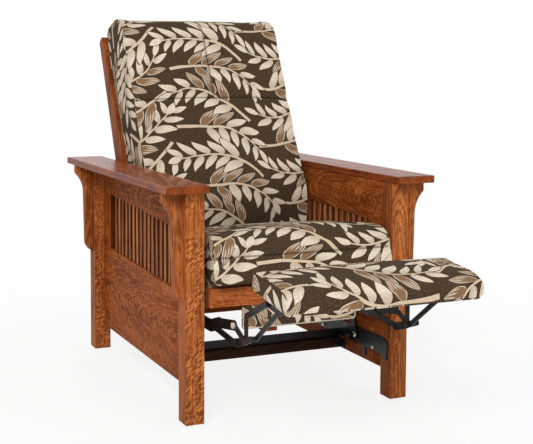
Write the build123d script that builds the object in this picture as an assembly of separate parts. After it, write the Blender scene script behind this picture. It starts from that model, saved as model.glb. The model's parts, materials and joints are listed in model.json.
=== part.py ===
from build123d import *
import os
from math import atan2, cos, degrees, hypot, radians, sin

# A Mission style oak recliner, shown with its footrest out. Millimetres, Z up.
# The footrest points to -Y. Left is -X and right is +X, as seen from the front.
# The chair is drawn about its own middle in X. Its places along Y are measured from
# front_face, the front of the front legs, and all is centred on the origin at the end.

# Driving sizes of the whole chair
overall_width = 815.0
arm_top = 648.0
arm_length = 966.0
leg_span = 888.0
front_face = -377.0
piece_gap = 0.3
steel = 4.0
plate_gap = 1.0
edge_ease = 2.0

# Legs and glides
leg_size = 54.0
leg_inset = 65.5
glide_radius = 11.0
glide_thickness = 3.0

# Arms
arm_width = 122.5
arm_thickness = 21.0
arm_front_overhang = 30.0
arm_ease = 3.5

# Corbels under the arms, outside each leg
corbel_thickness = 26.0
corbel_reach = 58.0
corbel_tip_height = 27.0
corbel_waist = 29.0
corbel_foot = 26.0
corbel_sweep_height = 93.0
corbel_straight_height = 162.0
corbel_curl_height = 38.0

# Side frames: a solid board below, slats above it, a rail under the arm
panel_inset = 33.0
panel_thickness = 21.0
panel_clearance = 85.0
panel_front_height = 249.0
panel_rear_height = 273.0
rail_front_depth = 122.0
rail_rear_depth = 87.0
stile_width = 75.0
slat_width = 18.0
slat_thickness = 12.0
slat_pitch = 35.2
slat_count = 17
rear_slat_gap = 33.0

# Wooden cross pieces of the frame
stretcher_setback = 284.0
stretcher_depth = 60.0
stretcher_height = 31.0
rear_rail_height = 90.0
rear_rail_thickness = 22.0

# Steel base of the mechanism
base_angle_height = 26.0
base_angle_depth = 34.0
base_rail_setback = 12.0
base_rail_tail = 85.0
base_rail_height = 50.0
base_rail_rise = 65.0
base_lug_width = 20.0
base_lug_drop = 44.0
front_lug_drop = 30.0
lug_setback = 142.0
front_lug_setback = 26.0
bolt_radius = 5.0
bolt_head_height = 3.5
bolt_count = 4
corner_bracket = 24.0

# Swing links that carry the seat
swing_length = 100.0
swing_lean = 16.0
swing_width = 24.0
swing_front_setback = 187.0
swing_spacing = 340.0
swing_offset = 1.0
pivot_radius = 5.0
pivot_clearance = 0.08
open_clearance = 1.0
hub_radius = 9.0
link_width = 17.0

# Wooden seat frame
seat_side_clearance = 15.0
front_rail_height = 51.0
front_rail_thickness = 22.0
front_rail_top = 366.0
front_rail_round = 9.0
side_rail_thickness = 22.0
side_rail_depth = 50.0
side_rail_length = 500.0
rear_rail_drop = 40.0
seat_slope = 8.0
deck_thickness = 12.0
deck_inset = 8.0

# Seat cushion
seat_cushion_length = 494.0
seat_cushion_overhang = 31.0
seat_cushion_side = 136.0
seat_cushion_crown = 15.0
seat_cushion_pull = 5.0
seat_cushion_bulge = 5.0

# Flap under the seat rail
flap_inset = 97.0
flap_height = 68.0
flap_thickness = 8.0
flap_setback = 5.0
flap_corner = 8.0
cleat_width = 36.0
cleat_inset = 84.0
cleat_height = 80.0
cleat_thickness = 18.0

# Back frame
back_lean = 29.1
back_foot_setback = 550.0
back_foot_height = 372.0
post_top_depth = 40.0
post_foot_depth = 108.0
post_thickness = 25.0
post_round = 12.0
back_arm_clearance = 4.0
back_rail_width = 75.0
back_rail_thickness = 20.0
back_slat_width = 42.0
back_slat_thickness = 10.0
back_slat_count = 7
back_pivot_rise = 24.0
back_pivot_depth = 66.0
back_bracket_length = 190.0
back_bracket_width = 34.0

# Back cushion
back_cushion_height = 790.0
back_cushion_proud = 4.0
back_cushion_swell = 7.0
back_cushion_thickness = 190.0
back_cushion_crown = 20.0

# Footrest pad and board
footrest_inset = 2.0
footrest_reach = 259.0
footrest_height = 409.0
footrest_tip_angle = 7.3
footrest_depth = 183.0
footrest_thickness = 58.0
footrest_crown = 8.0
footrest_board_thickness = 12.0
footrest_board_inset = 12.0
footrest_bracket_flange = 40.0
footrest_bracket_length = 130.0

# Footrest links, from the pivot on the seat plate
leg_pivot_reach = 8.0
leg_pivot_height = 275.0
leg_link_length = 149.5
leg_out_angle = 185.0
leg_fold_angle = 128.5
leg_pivot_spacing = 61.0
leg_spacing_angle = -18.0
footrest_pivot_in = 20.0
footrest_pivot_drop = 24.0
footrest_fold_angle = 82.7
shin_rise = 63.0
arm_bend_reach = 88.0
arm_bend_angle = 14.0
arm_bend_width = 27.0
stop_radius = 8.0
stop_thickness = 5.0
drag_arm = 40.0
drag_arm_angle = 25.0
drag_foot_in = 74.0
drag_foot_drop = 22.0
seat_plate_length = 470.0

# Places worked out from the driving sizes
half_width = overall_width / 2
leg_outer = half_width - leg_inset
leg_inner = leg_outer - leg_size
leg_top = arm_top - arm_thickness
rear_face = front_face + leg_span
arm_front = front_face - arm_front_overhang
panel_outer = leg_outer - panel_inset
panel_inner = panel_outer - panel_thickness
bay_front = front_face + leg_size
bay_rear = rear_face - leg_size
rail_back_y = front_face + front_rail_thickness
arm_inner = half_width - arm_width
seat_half_width = panel_inner - seat_side_clearance
back_half_width = arm_inner - back_arm_clearance
footrest_half_width = seat_half_width - footrest_inset
flap_half_width = seat_half_width - flap_inset
cleat_centre = flap_half_width - cleat_inset
post_length = back_cushion_height - back_cushion_proud


def block(x, y, z):
    """A box between pairs of limits along X, Y and Z."""
    size = Box(x[1] - x[0], y[1] - y[0], z[1] - z[0], align=(Align.MIN, Align.MIN, Align.MIN))
    return Pos(x[0], y[0], z[0]) * size


def eased(solid, radius=edge_ease):
    """The solid with all its edges softened."""
    return fillet(solid.edges(), radius)


def profile(points):
    """A flat face through points of the side view."""
    return make_face(Polyline(*points, close=True))


def side_solid(face, x, thickness):
    """A face of the side view, thickened towards +X from x."""
    return extrude(Plane.YZ.offset(x) * face, amount=thickness)


def bar(a, b, width):
    """The side view of a flat link with round ends, from a to b."""
    length = hypot(b[0] - a[0], b[1] - a[1])
    angle = degrees(atan2(b[1] - a[1], b[0] - a[0]))
    middle = Pos((a[0] + b[0]) / 2, (a[1] + b[1]) / 2)
    return middle * Rot(0, 0, angle) * SlotCenterToCenter(length, width)


def disc(point, radius):
    """A round spot in the side view."""
    return Pos(point[0], point[1]) * Circle(radius)


def pin(point, x, length, radius=pivot_radius):
    """A round bar across the chair, from x towards +X."""
    return side_solid(disc(point, radius), x, length)


def polar(origin, length, angle):
    """The point at a length and an angle from another, in the side view."""
    return (origin[0] + length * cos(radians(angle)), origin[1] + length * sin(radians(angle)))


def both_sides(solid):
    """A solid and its mirror image on the other side of the chair."""
    return [solid, mirror(solid, about=Plane.YZ)]


parts = {}


def keep(name, *solids):
    """Store the solids of one named piece."""
    parts[name] = list(solids)


def keep_pair(name, solid):
    """Store a piece of the +X side as right and its mirror image as left."""
    keep(name + "_right", solid)
    keep(name + "_left", mirror(solid, about=Plane.YZ))


def line_height(y, front_height, rear_height):
    """The height of a straight edge that runs from the front bay to the rear bay."""
    return front_height + (rear_height - front_height) * (y - bay_front) / (bay_rear - bay_front)


def panel_top(y):
    """The upper edge of the solid side board."""
    return panel_clearance + line_height(y, panel_front_height, panel_rear_height)


def rail_bottom(y):
    """The lower edge of the rail under the arm."""
    return leg_top - line_height(y, rail_front_depth, rail_rear_depth)


# Wooden frame

def make_legs():
    glides = []
    for name, y in (("leg_front", front_face), ("leg_rear", bay_rear)):
        leg = block((leg_inner, leg_outer), (y, y + leg_size), (glide_thickness, leg_top))
        keep_pair(name, eased(leg))
        middle = Pos((leg_inner + leg_outer) / 2, y + leg_size / 2, glide_thickness / 2)
        glides += both_sides(middle * Cylinder(glide_radius, glide_thickness))
    keep("glides", *glides)


def corbel_outline():
    """The bracket seen from the front, drawn outwards from the leg."""
    tip = leg_top - corbel_tip_height
    waist = leg_top - corbel_sweep_height
    foot = waist - corbel_straight_height
    end = foot - corbel_curl_height
    outline = Polyline((0, end), (0, leg_top), (corbel_reach, leg_top), (corbel_reach, tip))
    sweep = TangentArc((corbel_waist, waist), (corbel_reach, tip), tangent=(0, 1))
    straight = Line((corbel_waist, waist), (corbel_foot, foot))
    curl = TangentArc((corbel_foot, foot), (0, end), tangent=(0, -1))
    return make_face(Curve() + [outline, sweep, straight, curl])


def make_corbels():
    setback = (leg_size - corbel_thickness) / 2
    for name, y in (("corbel_front", front_face), ("corbel_rear", bay_rear)):
        face = Plane.XZ.offset(-(y + setback)) * Pos(leg_outer, 0) * corbel_outline()
        corbel = extrude(face, amount=-corbel_thickness)
        keep_pair(name, corbel)


def make_arms():
    arm = block((arm_inner, half_width), (arm_front, arm_front + arm_length), (leg_top, arm_top))
    keep_pair("arm", eased(arm, arm_ease))


def make_side_frames():
    panel = profile([(bay_front, panel_clearance), (bay_rear, panel_clearance),
                     (bay_rear, panel_top(bay_rear)), (bay_front, panel_top(bay_front))])
    keep_pair("side_panel", side_solid(panel, panel_inner, panel_thickness))
    rail = profile([(bay_front, rail_bottom(bay_front)), (bay_rear, rail_bottom(bay_rear)),
                    (bay_rear, leg_top), (bay_front, leg_top)])
    keep_pair("arm_rail", side_solid(rail, panel_inner, panel_thickness))
    keep_pair("stile_front", upright(bay_front, stile_width, panel_thickness))
    keep_pair("stile_rear", upright(bay_rear - stile_width, stile_width, panel_thickness))
    first = bay_rear - stile_width - rear_slat_gap - slat_width
    slats = [upright(first - i * slat_pitch, slat_width, slat_thickness) for i in range(slat_count)]
    keep("side_slats_right", *slats)
    keep("side_slats_left", *[mirror(slat, about=Plane.YZ) for slat in slats])


def upright(y, width, thickness):
    """A vertical piece of the side frame, between the board and the arm rail."""
    face = profile([(y, panel_top(y)), (y + width, panel_top(y + width)),
                    (y + width, rail_bottom(y + width)), (y, rail_bottom(y))])
    return side_solid(face, panel_inner + (panel_thickness - thickness) / 2, thickness)


stretcher_y = front_face + stretcher_setback
stretcher_top = panel_clearance + stretcher_height


def make_cross_pieces():
    stretcher = block((-panel_inner, panel_inner), (stretcher_y, stretcher_y + stretcher_depth),
                      (panel_clearance, stretcher_top))
    keep("cross_stretcher", eased(stretcher))
    middle = bay_rear + (leg_size - rear_rail_thickness) / 2
    rail = block((-leg_inner, leg_inner), (middle, middle + rear_rail_thickness),
                 (panel_clearance, panel_clearance + rear_rail_height))
    keep("rear_rail", eased(rail))


# Steel base of the mechanism

base_web = panel_inner - steel
base_rail_z = panel_clearance + base_rail_rise
base_front = front_face + base_rail_setback
front_swing_pivot = (front_face + swing_front_setback, base_rail_z)
rear_swing_pivot = (front_swing_pivot[0] + swing_spacing, base_rail_z)
base_rear = rear_swing_pivot[0] + base_rail_tail
base_rail_length = base_rear - base_front
swing_link_x = base_web - swing_offset - steel


def make_base():
    angle_y = stretcher_y + (stretcher_depth - base_angle_depth) / 2
    upright_leg = block((-base_web, base_web), (angle_y, angle_y + steel),
                        (stretcher_top, stretcher_top + base_angle_height))
    flat_leg = block((-base_web, base_web), (angle_y, angle_y + base_angle_depth),
                     (stretcher_top, stretcher_top + steel))
    keep("base_angle", upright_leg + flat_leg)
    round_end = base_rail_height / 2
    web = bar((base_front + round_end, base_rail_z), (base_rear - round_end, base_rail_z), base_rail_height)
    lug_y = front_face + lug_setback
    web += bar((lug_y, base_rail_z), (lug_y, base_rail_z - base_lug_drop), base_lug_width)
    front_lug_y = front_face + front_lug_setback
    web += bar((front_lug_y, base_rail_z), (front_lug_y, base_rail_z - front_lug_drop), base_lug_width)
    rail = side_solid(web, base_web, steel)
    for pivot in (front_swing_pivot, rear_swing_pivot):
        rail += pin(pivot, base_web - swing_offset + piece_gap, swing_offset, hub_radius)
        rail += pin(pivot, swing_link_x - steel / 2, base_web - swing_link_x + steel / 2)
    keep_pair("base_rail", rail)
    bolts = []
    for i in range(bolt_count):
        y = base_front + base_rail_length * (i + 1 / 2) / bolt_count
        bolts += both_sides(pin((y, base_rail_z - base_rail_height / 3), base_web - bolt_head_height,
                                bolt_head_height, bolt_radius))
    keep("base_bolts", *bolts)


def make_corner_brackets():
    """Small angles that fix the stretcher to the side boards."""
    y = stretcher_y - steel
    low = panel_clearance + steel
    foot = block((panel_inner - corner_bracket, panel_inner), (y, stretcher_y), (low, stretcher_top))
    ear = block((panel_inner - steel, panel_inner), (y - corner_bracket, stretcher_y), (low, stretcher_top))
    keep("stretcher_brackets", *both_sides(foot + ear))


# Swing links, in step: a parallelogram under the seat

swing_angle = 90 - swing_lean
front_swing_top = polar(front_swing_pivot, swing_length, swing_angle)
rear_swing_top = polar(rear_swing_pivot, swing_length, swing_angle)


def swing_link(foot, top, top_clearance):
    face = bar(foot, top, swing_width)
    face -= disc(foot, pivot_radius + pivot_clearance)
    face -= disc(top, pivot_radius + top_clearance)
    return side_solid(face, swing_link_x, steel)


def make_swing_links():
    keep("swing_links_front", *both_sides(swing_link(front_swing_pivot, front_swing_top, pivot_clearance)))
    keep("swing_links_rear", *both_sides(swing_link(rear_swing_pivot, rear_swing_top, open_clearance)))


# Wooden seat frame

carriage_x = seat_half_width
front_rail_bottom = front_rail_top - front_rail_height
slope = sin(radians(seat_slope)) / cos(radians(seat_slope))
side_rail_rear = rail_back_y + side_rail_length


def seat_line(y):
    """The sloping top edge of the seat's side rails."""
    return front_rail_top - (y - front_face) * slope


def make_seat_frame():
    rail = block((-seat_half_width, seat_half_width), (front_face, rail_back_y),
                 (front_rail_bottom, front_rail_top))
    ends = rail.edges().filter_by(Axis.Z).sort_by(Axis.Y)[0:2]
    rail = fillet(ends, front_rail_round)
    keep("seat_front_rail", rail)
    side = profile([(rail_back_y, seat_line(rail_back_y)), (side_rail_rear, seat_line(side_rail_rear)),
                    (side_rail_rear, seat_line(side_rail_rear) - side_rail_depth),
                    (rail_back_y, seat_line(rail_back_y) - side_rail_depth)])
    keep_pair("seat_side_rail", side_solid(side, seat_half_width - side_rail_thickness, side_rail_thickness))
    cross = seat_half_width - side_rail_thickness
    rear_top = seat_line(side_rail_rear)
    rear = block((-cross, cross), (side_rail_rear - side_rail_thickness, side_rail_rear),
                 (rear_top - side_rail_depth, rear_top - deck_inset))
    keep("seat_rear_rail", rear)
    start = rail_back_y + piece_gap
    deck = profile([(start, seat_line(start)), (side_rail_rear, seat_line(side_rail_rear)),
                    (side_rail_rear, seat_line(side_rail_rear) + deck_thickness),
                    (start, seat_line(start) + deck_thickness)])
    keep("seat_deck", side_solid(deck, -(seat_half_width - deck_inset), 2 * (seat_half_width - deck_inset)))


def make_flap():
    y = front_face + flap_setback
    flap = block((-flap_half_width, flap_half_width), (y, y + flap_thickness),
                 (front_rail_bottom - flap_height, front_rail_bottom))
    corners = flap.edges().filter_by(Axis.Y).sort_by(Axis.Z)[0:2]
    keep("front_flap", fillet(corners, flap_corner))
    back = y + flap_thickness
    cleat = block((-cleat_centre - cleat_width / 2, -cleat_centre + cleat_width / 2),
                  (back, back + cleat_thickness), (front_rail_bottom - cleat_height, front_rail_bottom))
    keep("flap_cleat", cleat)


# Steel plates of the seat

leg_pivot = (front_face - leg_pivot_reach, leg_pivot_height)
rear_leg_pivot = polar(leg_pivot, leg_pivot_spacing, leg_spacing_angle)
seat_plate_x = seat_half_width - side_rail_thickness - steel
leg_link_x = seat_plate_x - plate_gap - steel
shin_x = leg_link_x - plate_gap - steel
foot_bracket_x = shin_x - plate_gap - steel
drag_x = foot_bracket_x - plate_gap - steel
up = (sin(radians(back_lean)), cos(radians(back_lean)))
ahead = (-up[1], up[0])
back_foot = (front_face + back_foot_setback, back_foot_height)


def back_point(h, t):
    """A point of the leaning back: h up along it, t in front of its front face."""
    return (back_foot[0] + h * up[0] + t * ahead[0], back_foot[1] + h * up[1] + t * ahead[1])


back_pivot = back_point(-back_pivot_rise, -back_pivot_depth)


def make_seat_plates():
    carriage = bar(front_swing_top, rear_swing_top, base_rail_height)
    carriage += bar(rear_swing_top, back_pivot, back_bracket_width)
    upper = (front_swing_top[0], seat_line(front_swing_top[0]) - side_rail_depth / 2)
    lower = (rear_swing_top[0], seat_line(rear_swing_top[0]) - side_rail_depth / 2)
    carriage += profile([front_swing_top, rear_swing_top, lower, upper])
    plate = side_solid(carriage, carriage_x, steel)
    for pivot in (front_swing_top, rear_swing_top):
        plate += pin(pivot, carriage_x + steel, swing_link_x - carriage_x - steel - piece_gap, hub_radius)
        plate += pin(pivot, carriage_x, swing_link_x + steel + steel / 2 - carriage_x)
    plate += pin(back_pivot, back_bracket_x - steel / 2, carriage_x - back_bracket_x + steel)
    keep_pair("carriage_plate", plate)
    nose_back = (rear_leg_pivot[0] + leg_pivot_spacing, rear_leg_pivot[1])
    inner = bar(leg_pivot, rear_leg_pivot, 2 * link_width) + bar(rear_leg_pivot, nose_back, 2 * link_width)
    tail = front_face + seat_plate_length
    inner += profile([nose_back, (tail, seat_line(tail) - side_rail_depth),
                      (tail, seat_line(tail) - side_rail_depth / 2),
                      (nose_back[0], seat_line(nose_back[0]) - side_rail_depth / 2)])
    inner_plate = side_solid(inner, seat_plate_x, steel)
    for pivot in (leg_pivot, rear_leg_pivot):
        inner_plate += pin(pivot, leg_link_x, seat_plate_x - leg_link_x)
    keep_pair("footrest_plate", inner_plate)


# Links that carry the footrest: two equal arms on the seat plate and a bent plate at their ends

knee = polar(leg_pivot, leg_link_length, leg_out_angle)
rear_knee = polar(rear_leg_pivot, leg_link_length, leg_out_angle)
footrest_foot = (front_face - footrest_reach, footrest_height)
pad_out = (-cos(radians(footrest_tip_angle)), -sin(radians(footrest_tip_angle)))
pad_up = (pad_out[1], -pad_out[0])


def pad_point(s, n):
    """A point of the footrest: s out from its rear edge, n above its underside."""
    return (footrest_foot[0] + s * pad_out[0] + n * pad_up[0], footrest_foot[1] + s * pad_out[1] + n * pad_up[1])


footrest_pivot = pad_point(footrest_pivot_in, -footrest_pivot_drop)
shin_elbow = (knee[0], knee[1] + shin_rise)
arm_bend = polar(leg_pivot, arm_bend_reach, leg_out_angle - arm_bend_angle)
drag_foot = pad_point(drag_foot_in, -drag_foot_drop)
drag_head = polar(knee, drag_arm, leg_out_angle - drag_arm_angle)


def arm_link(outline, start, end):
    """One swinging arm, with a bearing hole on the seat's pin and a pin of its own for the shin."""
    face = outline - disc(start, pivot_radius + pivot_clearance)
    arm = side_solid(face, leg_link_x, steel)
    return arm + pin(end, shin_x - steel / 2, leg_link_x - shin_x + steel / 2)


def make_footrest_links():
    bent = bar(leg_pivot, arm_bend, arm_bend_width) + bar(arm_bend, knee, link_width)
    bent += bar(knee, drag_head, link_width)
    straight = bar(rear_leg_pivot, rear_knee, link_width)
    keep("footrest_arms", *both_sides(arm_link(bent, leg_pivot, knee)))
    keep("footrest_rear_arms", *both_sides(arm_link(straight, rear_leg_pivot, rear_knee)))
    shin = bar(rear_knee, knee, link_width + steel) + bar(knee, shin_elbow, link_width)
    shin += bar(shin_elbow, footrest_pivot, link_width)
    shin -= disc(knee, pivot_radius + pivot_clearance)
    shin -= disc(rear_knee, pivot_radius + open_clearance)
    plate = side_solid(shin, shin_x, steel)
    plate += pin(footrest_pivot, foot_bracket_x - steel / 2, shin_x - foot_bracket_x + steel / 2)
    keep("footrest_shins", *both_sides(plate))
    roller = pin(arm_bend, leg_link_x + steel, stop_thickness, stop_radius)
    keep("stop_rollers", *both_sides(roller))
    drag = bar(drag_foot, drag_head, link_width - steel)
    drag -= disc(drag_foot, pivot_radius + pivot_clearance)
    link = side_solid(drag, drag_x, steel) + pin(drag_head, drag_x, leg_link_x - drag_x - piece_gap)
    keep("footrest_drag_links", *both_sides(link))


def make_footrest():
    lug = pad_point(footrest_pivot_in - hub_radius, 0)
    far = pad_point(footrest_bracket_length, 0)
    web = profile([lug, far, pad_point(footrest_bracket_length, -hub_radius),
                   pad_point(drag_foot_in + hub_radius, -footrest_pivot_drop - hub_radius),
                   pad_point(footrest_pivot_in, -footrest_pivot_drop - hub_radius),
                   pad_point(footrest_pivot_in - hub_radius, -footrest_pivot_drop)])
    web -= disc(footrest_pivot, pivot_radius + pivot_clearance)
    bracket = side_solid(web, foot_bracket_x, steel)
    flange = profile([lug, far, pad_point(footrest_bracket_length, -steel),
                      pad_point(footrest_pivot_in - hub_radius, -steel)])
    bracket += side_solid(flange, foot_bracket_x - footrest_bracket_flange, footrest_bracket_flange + steel)
    bracket += pin(drag_foot, drag_x - steel / 2, foot_bracket_x - drag_x + steel / 2)
    keep("footrest_brackets", *both_sides(bracket))
    edge = footrest_board_inset
    board = profile([pad_point(edge, 0), pad_point(footrest_depth - edge, 0),
                     pad_point(footrest_depth - edge, footrest_board_thickness),
                     pad_point(edge, footrest_board_thickness)])
    width = footrest_half_width - edge
    keep("footrest_board", side_solid(board, -width, 2 * width))


# Back frame

back_bracket_x = back_half_width - post_thickness - steel


def make_back_frame():
    post = profile([back_point(0, 0), back_point(post_length, 0), back_point(post_length, -post_top_depth),
                    back_point(0, -post_foot_depth)])
    solid = side_solid(post, back_half_width - post_thickness, post_thickness)
    crown = solid.edges().filter_by(Axis.X).sort_by(Axis.Z)[-2:]
    keep_pair("back_post", fillet(crown, post_round))
    for name, low in (("back_bottom_rail", 0), ("back_top_rail", post_length - back_rail_width - post_round)):
        keep(name, back_board(low, low + back_rail_width, -back_rail_thickness, 0))
    low = back_rail_width
    high = post_length - back_rail_width - post_round
    span = 2 * (back_half_width - post_thickness)
    pitch = span / (back_slat_count + 1)
    middle = (back_rail_thickness + back_slat_thickness) / 2
    face = profile([back_point(low, -middle), back_point(high, -middle),
                    back_point(high, back_slat_thickness - middle), back_point(low, back_slat_thickness - middle)])
    slats = []
    for i in range(back_slat_count):
        x = -span / 2 + (i + 1) * pitch - back_slat_width / 2
        slats.append(side_solid(face, x, back_slat_width))
    keep("back_slats", *slats)
    hinge = bar(back_pivot, back_point(back_bracket_length, -back_pivot_depth + hub_radius), back_bracket_width)
    hinge -= disc(back_pivot, pivot_radius + pivot_clearance)
    keep("back_brackets", *both_sides(side_solid(hinge, back_bracket_x, steel)))


def back_board(low, high, rear, front):
    """A board across the back between the posts."""
    width = back_half_width - post_thickness
    face = profile([back_point(low, rear), back_point(high, rear), back_point(high, front), back_point(low, front)])
    return side_solid(face, -width, 2 * width)


# Cushions: each is a loft through sections with a flat base, bulged sides and a crowned top

def cushion_section(plane, half, side, crown, bulge):
    """A section of a cushion: flat below, bulged at its sides and crowned in the middle."""
    middle = side / 2
    edge = half - bulge
    floor = Line((-edge, 0), (edge, 0))
    right = ThreePointArc((edge, 0), (half, middle), (edge, side))
    top = ThreePointArc((edge, side), (0, side + crown), (-edge, side))
    left = ThreePointArc((-edge, side), (-half, middle), (-edge, 0))
    return plane * make_face(Curve() + [floor, right, top, left])


# Shares of a cushion's length, side height, crown and pull-in at its sections, from one end to the other
seat_length_shares = (0, 0.05, 0.13, 0.32, 0.6, 0.85, 1)
seat_side_shares = (0.72, 0.9, 0.99, 1, 1, 0.98, 0.91)
seat_crown_shares = (0.2, 0.6, 0.9, 1, 1, 0.8, 0.5)
seat_pull_shares = (0, 0.4, 0.8, 1, 1, 0.8, 0.2)


def make_seat_cushion():
    """The seat cushion, whose front end is rolled and whose top has a crown."""
    start = front_face - seat_cushion_overhang
    base = seat_line(start) + deck_thickness + piece_gap
    tilt = Rot(-seat_slope, 0, 0)
    place = Pos(0, start, base) * tilt
    sections = []
    for s, side, crown, pull in zip(seat_length_shares, seat_side_shares, seat_crown_shares, seat_pull_shares):
        plane = Plane((0, s * seat_cushion_length, 0), x_dir=(1, 0, 0), z_dir=(0, -1, 0))
        sections.append(cushion_section(plane, seat_half_width - pull * seat_cushion_pull,
                                        side * seat_cushion_side, crown * seat_cushion_crown,
                                        seat_cushion_bulge))
    keep("seat_cushion", place * loft(sections))


back_height_shares = (0, 0.036, 0.076, 0.12, 0.33, 0.6, 0.82, 0.9, 0.96, 1)
back_side_shares = (0.36, 0.46, 0.6, 0.72, 0.8, 0.87, 0.93, 0.95, 0.8, 0.4)
back_crown_shares = (0.1, 0.25, 0.5, 0.8, 1, 1, 0.9, 0.65, 0.3, 0.1)
back_width_shares = (0.98, 0.985, 0.985, 0.985, 0.985, 0.995, 1, 1, 0.985, 0.96)


def make_back_cushion():
    """The back cushion, thickest near the top, that leans on the slats."""
    origin = back_point(0, piece_gap)
    frame = Plane((0, origin[0], origin[1]), x_dir=(1, 0, 0), z_dir=(0, up[0], up[1]))
    sections = []
    shares = zip(back_height_shares, back_side_shares, back_crown_shares, back_width_shares)
    for h, side, crown, width in shares:
        plane = Plane((0, 0, h * back_cushion_height), x_dir=(-1, 0, 0), z_dir=(0, 0, 1))
        half = back_half_width * width
        sections.append(cushion_section(plane, half, side * back_cushion_thickness,
                                        crown * back_cushion_crown, back_cushion_swell))
    keep("back_cushion", frame.location * loft(sections))


pad_length_shares = (0, 0.04, 0.14, 0.45, 0.78, 0.92, 1)
pad_side_shares = (0.84, 0.95, 1, 1, 0.96, 0.82, 0.58)
pad_crown_shares = (0.1, 0.5, 0.9, 1, 0.9, 0.5, 0.1)


def make_footrest_pad():
    """The padded top of the footrest, with a rolled front edge."""
    base = footrest_board_thickness + piece_gap
    origin = pad_point(0, base)
    frame = Plane((0, origin[0], origin[1]), x_dir=(1, 0, 0), z_dir=(0, pad_up[0], pad_up[1]))
    height = footrest_thickness - base
    sections = []
    for s, side, crown in zip(pad_length_shares, pad_side_shares, pad_crown_shares):
        plane = Plane((0, -s * footrest_depth, 0), x_dir=(1, 0, 0), z_dir=(0, -1, 0))
        sections.append(cushion_section(plane, footrest_half_width, side * height,
                                        crown * footrest_crown, edge_ease))
    keep("footrest_pad", frame.location * loft(sections))


def centre_and_write():
    """Put the origin under the middle of the chair's box and write each piece."""
    os.makedirs("parts", exist_ok=True)
    boxes = [solid.bounding_box() for solids in parts.values() for solid in solids]
    low = min(box.min.Y for box in boxes)
    high = max(box.max.Y for box in boxes)
    shift = -(low + high) / 2
    for name, solids in parts.items():
        placed = [Pos(0, shift, 0) * solid for solid in solids]
        export_step(Compound(children=placed), "parts/" + name + ".step")
    return shift


make_legs()
make_corbels()
make_arms()
make_side_frames()
make_cross_pieces()
make_base()
make_corner_brackets()
make_swing_links()
make_seat_frame()
make_flap()
make_seat_plates()
make_footrest_links()
make_footrest()
make_back_frame()
make_seat_cushion()
make_back_cushion()
make_footrest_pad()
y_shift = centre_and_write()
print("pieces", len(parts), "shift along Y", round(y_shift, 3))
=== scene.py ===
# %% [markdown]
# # An oak recliner with slatted sides
# The chair arrives as a frame of exact solids, one for each wooden, steel or soft piece, already in
# place. This lesson dresses it: oak with its ray fleck, enamelled steel, and three cushions in a
# woven cloth of leaves.

# %% Load the frame
import bmesh
import bpy
import json
from functools import partialmethod
from math import cos, pi, radians, sin, tan
import numpy as np
from mathutils import Matrix, Vector
from mathutils.bvhtree import BVHTree
from mathutils.kdtree import KDTree
from mathutils.noise import noise as noise_at


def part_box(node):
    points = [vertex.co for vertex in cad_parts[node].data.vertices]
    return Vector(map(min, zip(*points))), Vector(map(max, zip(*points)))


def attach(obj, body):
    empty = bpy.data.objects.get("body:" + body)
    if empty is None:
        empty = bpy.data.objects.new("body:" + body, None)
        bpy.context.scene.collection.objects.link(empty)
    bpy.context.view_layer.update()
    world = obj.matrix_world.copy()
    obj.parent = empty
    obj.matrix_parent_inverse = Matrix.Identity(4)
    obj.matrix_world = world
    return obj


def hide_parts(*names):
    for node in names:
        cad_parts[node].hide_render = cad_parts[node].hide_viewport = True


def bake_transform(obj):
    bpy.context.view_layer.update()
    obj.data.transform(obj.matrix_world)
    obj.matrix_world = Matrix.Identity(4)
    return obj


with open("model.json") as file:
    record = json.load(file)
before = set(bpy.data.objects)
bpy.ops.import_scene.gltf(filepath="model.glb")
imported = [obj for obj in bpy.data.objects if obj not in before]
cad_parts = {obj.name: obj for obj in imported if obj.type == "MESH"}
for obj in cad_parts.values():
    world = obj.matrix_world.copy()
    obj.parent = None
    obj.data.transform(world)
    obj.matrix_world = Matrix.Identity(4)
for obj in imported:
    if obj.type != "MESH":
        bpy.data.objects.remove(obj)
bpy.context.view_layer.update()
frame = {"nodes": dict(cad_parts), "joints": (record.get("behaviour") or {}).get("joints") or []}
nodes = frame["nodes"]
mm = 0.001

# %% [markdown]
# ## Helpers
# Finished pieces are plain meshes whose points are already in place. These helpers make them, and
# turn an object with modifiers into such a mesh.

# %% Object helpers


def show(name, data):
    """A new object in the scene."""
    obj = bpy.data.objects.new(name, data)
    bpy.context.scene.collection.objects.link(obj)
    return obj


def add_mesh(name, points, faces=(), edges=()):
    """A new mesh object at the origin."""
    mesh = bpy.data.meshes.new(name)
    mesh.from_pydata([tuple(p) for p in points], list(edges), list(faces))
    mesh.update()
    return show(name, mesh)


def modify(obj, kind, **values):
    """Add a modifier with its values set."""
    modifier = obj.modifiers.new(kind.lower(), kind)
    for key, value in values.items():
        setattr(modifier, key, value)
    return obj


def baked(obj):
    """The object's final shape as a plain mesh of the same name. The object itself is deleted."""
    name = obj.name
    bpy.context.view_layer.update()
    depsgraph = bpy.context.evaluated_depsgraph_get()
    mesh = bpy.data.meshes.new_from_object(obj.evaluated_get(depsgraph), depsgraph=depsgraph)
    mesh.name = name
    mesh.transform(obj.matrix_world)
    bpy.data.objects.remove(obj)
    return show(name, mesh)


def smooth(obj):
    """Shade the object's faces smooth."""
    obj.data.shade_smooth()
    return obj


def paint(obj, material):
    """Give every face of the object one material."""
    obj.data.materials.clear()
    obj.data.materials.append(material)
    return obj


def store(obj, key, values):
    """Keep a number for each point, under a name that node trees and shaders can read."""
    obj.data.attributes.new(key, "FLOAT", "POINT").data.foreach_set("value", values)
    return obj


# %% [markdown]
# ## Camera
# The photograph was taken from the front left, a little above the arms. Its vanishing points gave
# the place and the direction of the lens, measured from the front of the left front leg. The
# picture is cropped off centre, which the lens shift repeats.

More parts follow.
